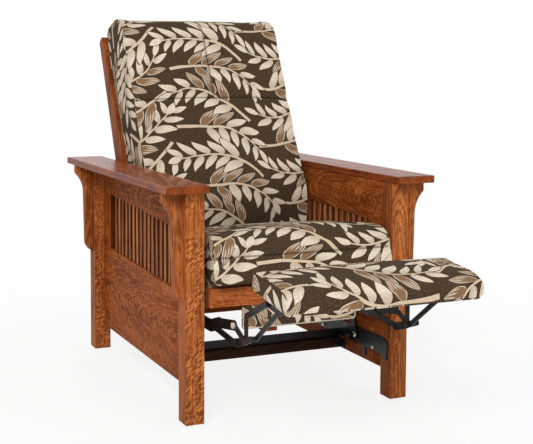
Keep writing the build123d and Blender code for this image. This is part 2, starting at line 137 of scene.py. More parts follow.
# %% Camera
picture_width = 533
picture_height = 444
focal_pixels = 1068.3
centre_pixel = (186, 145)
lens_x = -1358.2 * mm
lens_before_leg = 2581.9 * mm
lens_height = 964.4 * mm
pan = 21.496
tilt = -4.35
nearest, farthest = 0.05, 60
front_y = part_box("leg_front_left")[0].y

lens = bpy.data.cameras.new("lens")
lens.sensor_fit = "HORIZONTAL"
lens.lens = focal_pixels / picture_width * lens.sensor_width
lens.shift_x = (picture_width / 2 - centre_pixel[0]) / picture_width
lens.shift_y = (centre_pixel[1] - picture_height / 2) / picture_width
lens.clip_start = nearest
lens.clip_end = farthest
camera = show("camera", lens)
camera.location = (lens_x, front_y - lens_before_leg, lens_height)
camera.rotation_euler = (radians(90 + tilt), 0, radians(-pan))
bpy.context.scene.camera = camera
bpy.context.scene.view_settings.view_transform = "Standard"
print("camera at", [round(v, 3) for v in camera.location])

# %% [markdown]
# ## Shader arithmetic
# A procedural pattern is mostly arithmetic on a place. Wiring dozens of Math nodes by hand is hard
# to read, so a small class wraps a socket and lets Python's own signs make the nodes.

# %% Nodes and arithmetic


def wire(node, inputs):
    """Link each input that has a socket for it, and set the others' values."""
    for key, value in inputs.items():
        if isinstance(value, Num):
            value = value.socket
        if isinstance(value, bpy.types.NodeSocket):
            node.id_data.links.new(value, node.inputs[key])
        else:
            node.inputs[key].default_value = value
    return node


def add_node(tree, kind, inputs, **properties):
    """A new node with its properties set and its inputs wired."""
    node = tree.nodes.new(kind)
    for key, value in properties.items():
        setattr(node, key, value)
    return wire(node, inputs)


class Num:
    """A socket of a node tree that can be added, multiplied and so on."""

    def __init__(self, socket):
        self.socket = socket
        self.tree = socket.id_data

    def math(self, operation, *others):
        """A Math node's result, with this value first."""
        inputs = dict(enumerate((self, *others)))
        return Num(add_node(self.tree, "ShaderNodeMath", inputs, operation=operation).outputs[0])

    def __rsub__(self, other):
        return self * -1 + other


methods = {"__add__": "ADD", "__sub__": "SUBTRACT", "__mul__": "MULTIPLY", "__truediv__": "DIVIDE",
           "less": "LESS_THAN", "more": "GREATER_THAN", "least": "MINIMUM", "most": "MAXIMUM",
           "modulo": "FLOORED_MODULO", "angle": "ARCTAN2", "power": "POWER", "root": "SQRT",
           "sine": "SINE", "absolute": "ABSOLUTE", "floor": "FLOOR"}
for method, operation in methods.items():
    setattr(Num, method, partialmethod(Num.math, operation))


def hypotenuse(a, b):
    """The length of the long side of a right triangle."""
    return (a * a + b * b).root()


def shader(name, inputs):
    """A material with one Principled shader. Returns the material, its tree and the shader."""
    material = bpy.data.materials.new(name)
    material.use_nodes = True
    tree = material.node_tree
    return material, tree, wire(tree.nodes["Principled BSDF"], inputs)


def coordinate(tree, kind):
    """One of the Texture Coordinate node's outputs."""
    return add_node(tree, "ShaderNodeTexCoord", {}).outputs[kind]


def split(vector):
    """The three values of a vector, by their names."""
    outputs = add_node(vector.id_data, "ShaderNodeSeparateXYZ", {0: vector}).outputs
    return {axis: Num(outputs[axis.upper()]) for axis in "xyz"}


def spot(*values):
    """A vector from three values."""
    return add_node(values[0].tree, "ShaderNodeCombineXYZ", dict(enumerate(values))).outputs[0]


def place_in(tree, scale=(1, 1, 1)):
    """Object coordinates, stretched, for a pattern that fills the space."""
    inputs = {"Vector": coordinate(tree, "Object"), "Scale": scale}
    return add_node(tree, "ShaderNodeMapping", inputs).outputs["Vector"]


def noise(vector, scale=1.0, detail=2.0, roughness=0.5):
    """A Noise texture's value at a place."""
    inputs = {"Vector": vector, "Scale": scale, "Detail": detail, "Roughness": roughness}
    return Num(add_node(vector.id_data, "ShaderNodeTexNoise", inputs).outputs["Fac"])


def ramp(value, low, high, start=0.0, end=1.0):
    """The value stretched so that low becomes start and high becomes end, and held there."""
    inputs = {"Value": value, "From Min": low, "From Max": high, "To Min": start, "To Max": end}
    return Num(add_node(value.tree, "ShaderNodeMapRange", inputs).outputs["Result"])


def blend_colour(factor, first, second):
    """A mix of two colours, each a socket or three numbers."""
    first, second = [(*c, 1) if isinstance(c, tuple) else c for c in (first, second)]
    inputs = {0: factor, 6: first, 7: second}
    return add_node(factor.tree, "ShaderNodeMix", inputs, data_type="RGBA").outputs[2]


def add_bump(surface, height, distance, strength):
    """Drive the shader's normal from a height."""
    inputs = {"Height": height, "Distance": distance, "Strength": strength}
    bump = add_node(height.tree, "ShaderNodeBump", inputs)
    wire(surface, {"Normal": bump.outputs["Normal"]})


def shade(colour, share):
    """A colour made darker or lighter by a share."""
    return tuple(c * share for c in colour)


# %% [markdown]
# ## Quarter-sawn oak
# Three things make stained oak look like oak. Growth rings are cones round the middle of the tree,
# and so draw arches on a board. Open pores are fine dark dashes along the grain. The ray figure is
# made of slanting flecks that show only on a quarter-sawn face. All are drawn in the solid, from
# Object coordinates in millimetres measured from the piece's own middle, so that they run on round
# a corner. The face's own direction tells a flecked face from a plain one.

# %% Oak material
wood_shine = 0.04
coat_inputs = {"Coat Roughness": 0.06, "Coat IOR": 1.4}
seed_steps = (913, 137, 291)

# The sizes of each noise's cells in mm: along the grain, across it and into the face.
streak_cells = (120, 3.2, 3.2)
drift_cells = (240, 70, 70)
fade_cells = (130, 26, 26)
bend_cells = (110, 80, 80)
patch_cells = (80, 55, 55)
pore_cells = (16, 0.9, 0.9)
board_length, board_depth = 400, 40

# Rings: their pitch, how far the tree's middle wanders sideways, how uneven they are, and which
# parts of the wave are dark and which are pale.
ring_pitch = 6.5
ring_offset = 24
ring_drift = 30
ring_waves = ((3.7, 2.2), (1.6, 0.9))
ring_dark, ring_pale = (0.1, 0.95), (-0.5, -1.0)
pale_share = 0.6
fade_range = (0.36, 0.62, 0.25, 1.0)

# Flecks: their length and width as shares of the pitch, their depth in mm, how they bend, and
# which parts of their noise are pale and which are dark.
fleck_reach, fleck_width, fleck_depth = 0.5, 1.9, 25
fleck_bend = 0.4
fleck_pale, fleck_dark = (0.52, 0.57), (0.48, 0.42)
between_share = 0.8
patch_range = (0.30, 0.50)

# The tone between the rings, and the pores.
streak_share = 0.72
tone_range = (0.40, 0.61)
pore_range = (0.56, 0.68)
pore_share = 0.7


def grain_place(tree, way, centre, seed):
    """Millimetres along the grain, across it and into the face, and how square the face is.

    The first place is from the piece's middle, and the second is moved by the seed."""
    place = split(coordinate(tree, "Object"))
    facing = split(coordinate(tree, "Normal"))
    exact = [place[axis] * 1000 - centre["xyz".index(axis)] * 1000 for axis in way]
    moved = [value + seed * step for value, step in zip(exact, seed_steps)]
    return exact, moved, ramp(facing[way[2]].absolute(), 0.4, 0.8)


def cells(place, sizes, detail, roughness=0.5):
    """Noise whose cells have these sizes along the three directions of the grain."""
    return noise(spot(*[value / size for value, size in zip(place, sizes)]), 1, detail, roughness)


def growth_rings(exact, place, square, figure, seed):
    """The rings as a wave, and how strongly they show."""
    aside = exact[1] - ring_offset * sin(seed * 9)
    depth = exact[2] + exact[0] * figure["tilt"] + figure["depth"]
    radius = hypotenuse(aside, depth)
    first, second = [(radius / wave).sine() * size for wave, size in ring_waves]
    drift = cells(place, drift_cells, 2) * ring_drift
    ring = (radius * (2 * pi / ring_pitch) + (first + second) + drift).sine()
    faded = ramp(cells(place, fade_cells, 2), *fade_range)
    return ring, ramp(square, 0.0, 1.0, figure["side_rings"], figure["face_rings"]) * faded


def ray_flecks(place, square, figure):
    """The pale flecks, and the dark between them."""
    along, across, into = place
    slant, pitch, strength = radians(figure["slant"]), figure["pitch"], figure["rays"]
    bend = cells(place, bend_cells, 2) * figure["wander"]
    over = (along * cos(slant) + across * sin(slant)) / (pitch * fleck_reach) + bend
    down = (across * cos(slant) - along * sin(slant)) / (pitch * fleck_width) + bend * fleck_bend
    fleck = noise(spot(over, down, into / fleck_depth), 1, 2, 0.45)
    patch = ramp(cells(place, patch_cells, 1), *patch_range) * square
    return (ramp(fleck, *fleck_pale) * patch * strength,
            ramp(fleck, *fleck_dark) * patch * (strength * between_share))


def oak(name, way, stain, gloss, figure, coat, centre=(0, 0, 0), seed=0.0):
    """Stained oak. The way names its axes: along the grain, across it, and through the face."""
    material, tree, surface = shader(name, {"Specular IOR Level": wood_shine,
                                            "Coat Weight": coat, **coat_inputs})
    light, dark, ribbon = stain
    exact, place, square = grain_place(tree, way, centre, seed)
    streaks = cells(place, streak_cells, 3, 0.65)
    boards = cells(place, (board_length, figure["board"], board_depth), 1)
    ring, ringed = growth_rings(exact, place, square, figure, seed)
    rays, between = ray_flecks(place, square, figure)
    pores = ramp(cells(place, pore_cells, 2, 0.6), *pore_range)
    tone = streaks * streak_share + boards * (1 - streak_share)
    colour = blend_colour(ramp(tone, *tone_range), dark, light)
    colour = blend_colour(ramp(ring, *ring_dark) * ringed, colour, dark)
    colour = blend_colour(ramp(ring, *ring_pale) * ringed * pale_share, colour, ribbon)
    colour = blend_colour(between, colour, dark)
    colour = blend_colour(rays, colour, ribbon)
    # Painted shade: sides that are not square to the face, such as the slats' faces that look onto
    # each other, are darkened as if in shadow.
    if figure["edges"]:
        colour = blend_colour((1 - square) * figure["edges"], colour, shade(dark, 0.4))
    colour = blend_colour(pores * pore_share, colour, shade(dark, 0.28))
    rough = ramp(rays - pores * 0.5, -0.5, 0.6, gloss + 0.14, gloss - 0.06)
    wire(surface, {"Base Color": colour, "Roughness": rough})
    add_bump(surface, rays * 0.2 - pores - ring * 0.1, 0.2 * mm, 0.6)
    return material


# %% [markdown]
# A stain has a light, a dark and a fleck colour. A figure says how the flecks lie and how strong
# they are, how the rings show on the face and on its sides, and how much painted shade darkens the
# sides, as shadow between the slats and on the stiles' edges. A finish joins a way, a stain, the
# gloss, a figure and the coat's weight. It serves the pieces whose names start with its key, unless
# an earlier key fits them.

# %% Stains, figures and finishes
leg_stain = ((0.520, 0.158, 0.041), (0.155, 0.034, 0.008), (0.66, 0.225, 0.060))
board_stain = ((0.410, 0.098, 0.016), (0.105, 0.020, 0.004), (0.68, 0.22, 0.050))
arm_stain = ((0.390, 0.084, 0.014), (0.105, 0.018, 0.004), (0.46, 0.12, 0.02))
rail_stain = ((0.500, 0.138, 0.032), (0.170, 0.036, 0.009), (0.64, 0.21, 0.05))
slat_stain = ((0.680, 0.260, 0.085), (0.100, 0.022, 0.007), (0.62, 0.24, 0.08))
dark_stain = ((0.060, 0.022, 0.011), (0.022, 0.008, 0.005), (0.09, 0.035, 0.018))
plain_stain = ((0.52, 0.34, 0.19), (0.36, 0.22, 0.11), (0.58, 0.40, 0.24))
# A figure's edges value is how much painted shade darkens a piece's sides.
plain = dict(slant=0, pitch=30, wander=1, rays=0, face_rings=0.55, side_rings=0.5, edges=0,
             tilt=0.1, depth=50, board=40)
flecked = {**plain, "slant": -42, "pitch": 7.5, "wander": 2.0, "rays": 0.75, "face_rings": 0.25}
cathedral = {**flecked, "rays": 0.3, "face_rings": 0.8}
swirled = {**flecked, "slant": -28, "pitch": 9, "wander": 3.0, "rays": 0.3, "face_rings": 0.65,
           "tilt": 0.16, "depth": 85}
arm_figure = {**plain, "slant": 64, "pitch": 14, "wander": 3.0, "rays": 0.25, "face_rings": 0.5}
rail_figure = {**arm_figure, "pitch": 9, "rays": 0.3, "face_rings": 0.3}
# Painted shade on the sides of the stiles and the slats, where they lie in shadow.
stile_figure_and_shade = {**plain, "edges": 0.8}
slat_figure_and_shade = {**plain, "face_rings": 0.35, "side_rings": 0.15, "edges": 0.92, "board": 17}
faint = {**slat_figure_and_shade, "edges": 0}
finishes = {
    "leg_front_right": ("zxy", leg_stain, 0.42, cathedral, 0.03),
    "leg_": ("zxy", leg_stain, 0.42, flecked, 0.03),
    "corbel_": ("zxy", leg_stain, 0.44, plain, 0.03),
    ("side_panel", "arm_rail"): ("yzx", board_stain, 0.46, swirled, 0.0),
    "arm_": ("yxz", arm_stain, 0.30, arm_figure, 0.22),
    "stile_": ("zyx", board_stain, 0.46, stile_figure_and_shade, 0.0),
    "side_slats": ("zyx", slat_stain, 0.46, slat_figure_and_shade, 0.0),
    "cross_stretcher": ("xzy", dark_stain, 0.48, plain, 0.03),
    ("rear_rail", "flap_cleat"): ("xzy", board_stain, 0.44, plain, 0.03),
    "seat_front_rail": ("xzy", rail_stain, 0.38, rail_figure, 0.08),
    "back_post": ("zyx", board_stain, 0.40, plain, 0.05),
    ("back_top_rail", "back_bottom_rail"): ("xzy", board_stain, 0.42, plain, 0.03),
    "back_slats": ("zxy", board_stain, 0.42, plain, 0.03),
}
seed_step = 0.37
for number, node in enumerate(sorted(nodes)):
    match = next((key for key in finishes if node.startswith(key)), None)
    if match:
        middle = sum(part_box(node), Vector()) / 2
        paint(nodes[node], oak("oak " + node.replace("_", " "), *finishes[match], middle,
                               number * seed_step))

# The hidden seat frame is plain hardwood and plywood, left unstained.
plain_y = oak("plain hardwood along y", "yzx", plain_stain, 0.6, faint, 0.0, seed=3.1)
plain_x = oak("plain hardwood along x", "xyz", plain_stain, 0.6, faint, 0.0, seed=5.3)
for node in ("seat_side_rail_left", "seat_side_rail_right"):
    paint(nodes[node], plain_y)
for node in ("seat_rear_rail", "seat_deck", "footrest_board"):
    paint(nodes[node], plain_x)
print("finishes", len(finishes))

# %% [markdown]
# ## Enamelled steel and small fittings
# The links are stamped from strip and painted black. The paint is a little uneven, with soft orange
# peel and rubbed spots where it has worn to grey.

# %% Metals and nylon


def enamel(name, base, worn):
    """Black paint on steel strip."""
    material, tree, surface = shader(name, {"Specular IOR Level": 0.22, "Coat Weight": 0.12,
                                            "Coat Roughness": 0.12})
    place = place_in(tree)
    cloud = noise(place, 55, 3)
    scuff = ramp(noise(place, 260, 4, 0.7), 0.62, 0.78)
    colour = blend_colour(ramp(cloud, 0.3, 0.7) * 0.6, base, shade(base, 2.2))
    wire(surface, {"Base Color": blend_colour(scuff * 0.35, colour, worn),
                   "Roughness": ramp(cloud, 0.3, 0.7, 0.3, 0.5)})
    add_bump(surface, noise(place, 900, 2), 0.12 * mm, 0.5)
    return material


def metal(name, colour, roughness):
    """Bare or plated steel with fine streaks."""
    material, tree, surface = shader(name, {"Metallic": 1.0})
    streak = noise(place_in(tree, (300, 60, 60)), 1, 3)
    wire(surface, {"Base Color": blend_colour(ramp(streak, 0.3, 0.7), shade(colour, 0.8), colour),
                   "Roughness": ramp(streak, 0.3, 0.7, roughness - 0.06, roughness + 0.1)})
    return material


def plastic(name, colour, roughness):
    """Moulded nylon, thread or cord."""
    material, tree, surface = shader(name, {"Specular IOR Level": 0.4, "Roughness": roughness})
    place = place_in(tree)
    cloud = ramp(noise(place, 180, 3), 0.35, 0.65)
    wire(surface, {"Base Color": blend_colour(cloud, shade(colour, 0.86), colour)})
    add_bump(surface, noise(place, 1200, 1), 0.1 * mm, 0.3)
    return material


black_steel = enamel("black enamel", (0.005, 0.005, 0.005), (0.05, 0.05, 0.05))
zinc = metal("zinc plate", (0.62, 0.62, 0.60), 0.34)
steel_starts = ("base_angle", "base_rail", "carriage_", "swing_", "footrest_plate",
                "footrest_arms", "footrest_rear_arms", "footrest_shins", "footrest_drag",
                "footrest_brackets", "back_brackets", "stretcher_brackets")
steel_nodes = [node for node in nodes if node.startswith(steel_starts)]
for node in steel_nodes:
    paint(nodes[node], black_steel)
paint(nodes["base_bolts"], zinc)
paint(nodes["stop_rollers"], plastic("cream nylon", (0.74, 0.62, 0.50), 0.42))
paint(nodes["glides"], plastic("brown nylon", (0.06, 0.04, 0.03), 0.4))
print("steel pieces", len(steel_nodes))

# %% [markdown]
# ## The leaf cloth
# The cloth is a brown heather with curved stems and pointed leaves, woven pale and tan. The pattern
# here is a plain one of our own. A sprig is a stem bent to an arc. A place on the cloth is turned
# into its distance along that arc and across it, and the leaves are lens shapes at even steps along
# both sides. A repeat holds several sprigs, each in its own copy of the repeat, so none is cut at
# an edge. Sizes are in millimetres of cloth, and angles in degrees.

# %% Sprig pattern
repeat_width = 570.0
repeat_height = 412.0
repeat_drop = 206.0
stem_widths = (5.2, 1.8)
leaf_shrink = (1.08, 0.66)
leaf_bow = 0.2
side_stagger = 0.45
belly_power = 0.85
last_leaf = 0.6
tip_root, tip_length, tip_width = 0.12, 0.72, 0.7


def bulge(run):
    """The height of a lens shape: zero at both ends and one in the middle."""
    return run * (1 - run) * 4


def arc_sprig(u, v, x, y, turn, radius, sway, length, bare, pitch, leaf, half_width, slant,
              tan_above, tan_below):
    """One sprig: how deep a place is in a leaf or stem, and where it lies in the leaf."""
    across = u - x
    column = (across / repeat_width).floor()
    across = across - column * repeat_width - repeat_width / 2
    down = v - y - column * repeat_drop
    down = down.modulo(repeat_height) - repeat_height / 2
    c, s = cos(radians(turn)), sin(radians(turn))
    px = across * c + down * s
    py = down * c - across * s - (px * (2 * pi / length)).sine() * sway
    bend = 1 if radius > 0 else -1
    to_centre = py * -bend + abs(radius)
    along = px.angle(to_centre) * abs(radius) + length / 2
    aside = (abs(radius) - hypotenuse(px, to_centre)) * bend
    below = aside.less(0.0)
    off = aside.absolute()
    rise = sin(radians(slant))
    base = along - off / tan(radians(slant)) - below * (pitch * side_stagger) - bare
    number = (base / pitch).floor()
    from_middle = base - number * pitch - pitch / 2
    rooted = number * pitch + bare
    inside = number.more(-0.5) * rooted.less(length - pitch * last_leaf)
    varied = (number * 2.3 + x).sine() * 0.07 + 1.0
    size = varied * ramp(rooted, bare, length, *leaf_shrink)
    run = off / (size * (leaf * rise))
    belly = bulge(run.power(belly_power))
    bow = from_middle * rise + (belly - 0.5) * (half_width * leaf_bow)
    width = belly * size * half_width
    inside = inside * run.less(1.0)
    edge = (width - bow.absolute()) * inside - (1 - inside) * 9
    past_root = along - length + leaf * tip_root
    tip = bulge(past_root / (leaf * tip_length)) * (half_width * tip_width) - off
    tip = tip.least(past_root)
    stem = (ramp(along, 0.0, length, *stem_widths) - off).least(along).least(length - along)
    is_tan = number.less(below * (tan_below - tan_above) + (tan_above - 0.5))
    return edge, tip, stem, bow / (width + 0.5), run, is_tan


# Each sprig: x, y, turn, radius (negative bends the other way), sway, length, bare stem, pitch,
# leaf length, leaf half width, slant, and how many leaves are tan above and below the stem.
sprigs = [
    (0, 0, 21, 250, 10, 316, 62, 45, 76, 14.8, 50, 0, 2),
    (8, 103, 196, -240, 8, 300, 56, 44, 74, 14.4, 50, 3, 0),
    (-10, 206, 26, 270, -9, 310, 64, 45, 76, 14.8, 52, 1, 4),
    (4, 311, 203, -250, 9, 306, 60, 44, 74, 14.6, 50, 0, 0),
    (290, 46, -20, -250, 9, 306, 66, 44, 74, 14.6, 50, 2, 0),
    (280, 155, 159, 240, -8, 300, 58, 45, 76, 14.8, 52, 0, 3),
    (296, 258, -14, -280, 10, 312, 60, 44, 74, 14.6, 50, 4, 1),
    (278, 357, 164, 250, 8, 296, 62, 45, 76, 14.8, 50, 0, 0),
]

# %% [markdown]
# The ground, the cream, the tan and the stems are each a mix of two yarns, dark and light. A dark
# outline and a rim of plain ground part each leaf from what lies under it.

# %% Leaf cloth
ground_yarns = ((0.015, 0.009, 0.005), (0.125, 0.078, 0.044))
cream_yarns = ((0.50, 0.40, 0.28), (0.92, 0.80, 0.65))
tan_yarns = ((0.17, 0.090, 0.040), (0.34, 0.20, 0.105))
stem_yarns = ((0.50, 0.38, 0.25), (0.84, 0.68, 0.49))
seam_shadow = (0.012, 0.008, 0.005)
leaf_outline = (0.010, 0.006, 0.003)
cloth_drift = 24
weave_pitch = 1.5


def leaf_cloth(name):
    """The woven cloth, on a UV map that measures the cloth in metres."""
    material, tree, surface = shader(name, {"Roughness": 0.92, "Specular IOR Level": 0.05,
                                            "Sheen Weight": 0.02, "Sheen Roughness": 0.5})
    cloth = add_node(tree, "ShaderNodeUVMap", {}, uv_map="cloth").outputs["UV"]
    drift = add_node(tree, "ShaderNodeTexNoise", {"Vector": cloth, "Scale": 7}).outputs["Color"]
    drift = add_node(tree, "ShaderNodeSeparateColor", {0: drift}).outputs
    u, v = [split(cloth)[axis] * 1000 + (Num(drift[i]) - 0.5) * cloth_drift
            for i, axis in enumerate("xy")]
    speck = noise(cloth, 620, 2, 0.7) * 0.55 + noise(cloth, 210, 3, 0.75) * 0.45
    colour = ground = blend_colour(ramp(speck, 0.40, 0.60), *ground_yarns)
    cream = blend_colour(ramp(speck, 0.38, 0.58), *cream_yarns)
    brown = blend_colour(ramp(speck, 0.38, 0.62), *tan_yarns)
    stalk = blend_colour(speck, *stem_yarns)
    masks = []
    for sprig in sprigs:
        edge, tip, stem, rib, run, is_tan = arc_sprig(u, v, *sprig)
        vein = ((rib * 13 + run * 3).sine() * 0.5 + 0.5) * ramp(run, 0.22, 0.62)
        drawn = (ramp(vein, 0.45, 0.8) + ramp(rib.absolute(), 0.72, 0.86)).least(0.85)
        veined = blend_colour(drawn, brown, cream)
        shaded = blend_colour(ramp(run, 0.0, 0.55, 0.45, 0.0), cream, brown)
        leaf = blend_colour(is_tan, shaded, veined)
        reach = edge.most(tip).most(stem)
        colour = blend_colour(ramp(reach, -2.8, -1.6), colour, ground)
        colour = blend_colour(ramp(reach, -2.4, -0.6) * 0.6, colour, leaf_outline)
        for part, yarn in ((edge, leaf), (tip, cream), (stem, stalk)):
            colour = blend_colour(ramp(part, -0.4, 0.5), colour, yarn)
        masks.append(ramp(reach, -0.8, 0.8))
    raised = masks[0]
    for mask in masks[1:]:
        raised = raised.most(mask)
    nearness = add_node(tree, "ShaderNodeAttribute", {}, attribute_name="seam").outputs["Fac"]
    seam = ramp(Num(nearness), 0.70, 0.88)
    wire(surface, {"Base Color": blend_colour(seam * 0.6, colour, seam_shadow)})
    weft, warp = [(thread * (2 * pi / weave_pitch)).sine() for thread in (v, u)]
    height = raised * 0.8 + weft * warp * 0.35 + speck * 0.9 - seam * 2
    add_bump(surface, height, 0.6 * mm, 0.8)
    return material


leaf_weave = leaf_cloth("leaf weave")
thread_brown = plastic("brown thread", (0.05, 0.032, 0.02), 0.7)
cream_cord = plastic("cream cord", (0.62, 0.52, 0.40), 0.8)
print("sprigs in the repeat", len(sprigs), "cloth nodes", len(leaf_weave.node_tree.nodes))

# %% [markdown]
# ## Trees of Geometry Nodes
# Slats, rivets, stitches and piping repeat, or follow a line. Each is made by a small node tree
# with named sizes. These helpers start such a tree, and run it on an object with its sizes set.

# %% Node tree helpers


class Tree:
    """A Geometry Nodes tree with named sizes and a material."""

    def __init__(self, name, *sizes):
        self.group = bpy.data.node_groups.new(name, "GeometryNodeTree")
        face = self.group.interface
        face.new_socket(name="Geometry", in_out="OUTPUT", socket_type="NodeSocketGeometry")
        kinds = {"Geometry": "Geometry", **dict.fromkeys(sizes, "Float"), "Material": "Material"}
        for key, kind in kinds.items():
            face.new_socket(name=key, in_out="INPUT", socket_type="NodeSocket" + kind)
        self.input = self.group.nodes.new("NodeGroupInput")
        self.output = self.group.nodes.new("NodeGroupOutput")

    def size(self, name):
        return self.input.outputs[name]

    def add(self, kind, inputs, **properties):
        """The first output of a new node."""
        return add_node(self.group, kind, inputs, **properties).outputs[0]

    def finish(self, geometry):
        """Realize the instances and give them the material."""
        real = self.add("GeometryNodeRealizeInstances", {"Geometry": geometry})
        wire(self.output, {0: self.add("GeometryNodeSetMaterial", {
            "Geometry": real, "Material": self.size("Material")})})
        return self.group


def grown(obj, group, **sizes):
    """What a tree makes of an object, with the tree's inputs set."""
    modifier = obj.modifiers.new(group.name, "NODES")
    modifier.node_group = group
    for item in group.interface.items_tree:
        if item.in_out == "INPUT" and item.name in sizes:
            modifier[item.identifier] = sizes[item.name]
    return baked(obj)


tube = Tree("tube along a line", "Radius")
line = tube.add("GeometryNodeMeshToCurve", {"Mesh": tube.size("Geometry")})
ring = tube.add("GeometryNodeCurvePrimitiveCircle", {
    "Resolution": 8, "Radius": tube.size("Radius")})
tube_tree = tube.finish(tube.add("GeometryNodeCurveToMesh", {
    "Curve": line, "Profile Curve": ring, "Fill Caps": True}))

sew = Tree("stitches along a line", "Pitch", "Length", "Radius")
thread = sew.add("GeometryNodeMeshToCurve", {"Mesh": sew.size("Geometry")})
spaced = sew.add("GeometryNodeResampleCurve", {"Curve": thread, "Length": sew.size("Pitch")},
                 mode="LENGTH")
bead = sew.add("GeometryNodeMeshIcoSphere", {"Radius": 1.0, "Subdivisions": 1})
shape = sew.add("ShaderNodeCombineXYZ", {
    "X": sew.size("Radius"), "Y": sew.size("Radius"), "Z": sew.size("Length")})
tangent = sew.add("GeometryNodeInputTangent", {})
aim = sew.add("FunctionNodeAlignRotationToVector", {"Vector": tangent}, axis="Z")
beads = sew.add("GeometryNodeInstanceOnPoints", {
    "Points": spaced, "Instance": bead, "Rotation": aim, "Scale": shape})
stitch_tree = sew.finish(sew.add("GeometryNodeSetShadeSmooth", {"Geometry": beads}))
for group in (tube_tree, stitch_tree):
    print(group.name, [item.name for item in group.interface.items_tree])

# %% [markdown]
# ## Slats
# Seventeen slats stand between the board and the rail on each side. One slat is a rounded rectangle
# swept up a line, and a tree sets it on every point of a row, as tall as the gap is there. The
# points are worked out from the frame's own board and rail, and each slat runs a little way into
# its mortises.

# %% Slat tree
slat_count = 17
slat_width = 18 * mm
slat_thickness = 12 * mm
slat_corner = 1.6 * mm
mortise = 3 * mm

tree = Tree("slats", "Width", "Thickness", "Corner")
outline = tree.add("GeometryNodeCurvePrimitiveQuadrilateral", {
    "Width": tree.size("Thickness"), "Height": tree.size("Width")})
rounded = tree.add("GeometryNodeFilletCurve", {
    "Curve": outline, "Radius": tree.size("Corner"), "Count": 3, "Limit Radius": True},
    mode="POLY")
upright = tree.add("GeometryNodeCurvePrimitiveLine", {"Start": (0, 0, 0), "End": (0, 0, 1)})
bar = tree.add("GeometryNodeCurveToMesh", {
    "Curve": upright, "Profile Curve": rounded, "Fill Caps": True})
height = tree.add("GeometryNodeInputNamedAttribute", {"Name": "height"}, data_type="FLOAT")
tall = tree.add("ShaderNodeCombineXYZ", {"X": 1.0, "Y": 1.0, "Z": height})
slat_tree = tree.finish(tree.add("GeometryNodeInstanceOnPoints", {
    "Points": tree.size("Geometry"), "Instance": bar, "Scale": tall}))


def edge_line(node, pick):
    """The highest or lowest edge of a side piece, which slopes, as a function of y."""
    low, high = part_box(node)
    ends = [pick(v.co.z for v in nodes[node].data.vertices if abs(v.co.y - y) < 1 * mm)
            for y in (low.y, high.y)]
    return lambda y: ends[0] + (ends[1] - ends[0]) * (y - low.y) / (high.y - low.y)


for side in ("left", "right"):
    low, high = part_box("side_slats_" + side)
    above = edge_line("side_panel_" + side, max)
    below = edge_line("arm_rail_" + side, min)
    step = (high.y - low.y - slat_width) / (slat_count - 1)
    ys = [low.y + slat_width / 2 + step * i for i in range(slat_count)]
    row = add_mesh("slats_" + side, [((low.x + high.x) / 2, y, above(y) - mortise) for y in ys])
    store(row, "height", [below(y) - above(y) + mortise * 2 for y in ys])
    row = grown(row, slat_tree, Width=slat_width, Thickness=slat_thickness, Corner=slat_corner,
                Material=nodes["side_slats_" + side].data.materials[0])
    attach(row, "frame")
    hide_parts("side_slats_" + side)
    print("slats", side, len(row.data.polygons))

# %% [markdown]
# ## Rivets
# Every joint of the mechanism turns on a rivet. Where nothing passes close by, its head is domed,
# and the frame's joints say where that is. The arms' own pins are flush, because the shins fold
# flat over them.

# %% Rivet tree
rivet_radius = 8.5 * mm
pad_rivet_radius = 7 * mm
rivet_height = 3.2 * mm
steel = 4 * mm

tree = Tree("rivets", "Radius", "Height")
ball = tree.add("GeometryNodeMeshUVSphere", {"Segments": 16, "Rings": 8, "Radius": 1.0})
flat = tree.add("ShaderNodeCombineXYZ", {
    "X": tree.size("Height"), "Y": tree.size("Radius"), "Z": tree.size("Radius")})
heads = tree.add("GeometryNodeInstanceOnPoints", {
    "Points": tree.size("Geometry"), "Instance": ball, "Scale": flat})
rivet_tree = tree.finish(tree.add("GeometryNodeSetShadeSmooth", {"Geometry": heads}))
pivot = {joint["name"]: joint["pos_m"][1:] for joint in frame["joints"]}


def rivets(name, body, material, radius, *places):
    """Domed heads on both sides of the chair, each on a face of a node, less some of its steel,
    at a joint's pivot."""
    points = [((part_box(node)[1].x - sunk) * side, *pivot[joint])
              for node, sunk, joint in places for side in (1, -1)]
    obj = grown(add_mesh(name, points), rivet_tree, Radius=radius, Height=rivet_height,
                Material=material)
    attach(obj, body)


rivets("knee_rivets", "shin", black_steel, rivet_radius,
       ("footrest_rear_arms", 0, "knee_turn"), ("footrest_shins", steel, "knee_turn"))
rivets("pad_rivets", "footrest", black_steel, pad_rivet_radius,
       ("footrest_shins", 0, "footrest_tilt"), ("footrest_brackets", steel, "drag_link_turn"))
rivets("swing_rivets", "frame", zinc, rivet_radius,
       ("swing_links_front", steel, "front_swing_turn"),
       ("swing_links_front", steel, "rear_swing_turn"))

# %% [markdown]
# ## Cushions
# Each soft solid of the frame is the cut size of a cushion. Foam under a tight cover pushes its
# panels out between the seams, and the seams hold. So each cushion is laid flat in a frame of its
# own, remeshed, and blown up by a cloth simulation in which the seams are pinned. Only the seams,
# the piping and the cloth's map come after that, because remeshing would remove them.

# %% A cushion laid flat
sharp_edge = radians(25)
side_share = 0.8
base_reach, side_foot = 1 * mm, 2 * mm
profile_steps = 60
profile_margin = 0.4 * mm
line_step = 6 * mm
cross_points, middle_points = 90, 80
same_place = 0.01 * mm


def distances(points):
    """How far along a line each of its points is."""
    steps = [(b - a).length for a, b in zip(points, points[1:])]
    return np.concatenate([[0], np.cumsum(steps)])


def even_line(points, step, rounds=2):
    """A line with its corners softened and its points at even steps."""
    for _ in range(rounds):
        middle = [(a + b * 2 + c) / 4 for a, b, c in zip(points, points[1:], points[2:])]
        points = [points[0], *middle, points[-1]]
        lengths = distances(points)
        ways = np.linspace(0, lengths[-1], max(3, round(lengths[-1] / step)))
        table = np.array([tuple(p) for p in points])
        points = [Vector([np.interp(way, lengths, table[:, k]) for k in range(3)])
                  for way in ways]
    return points


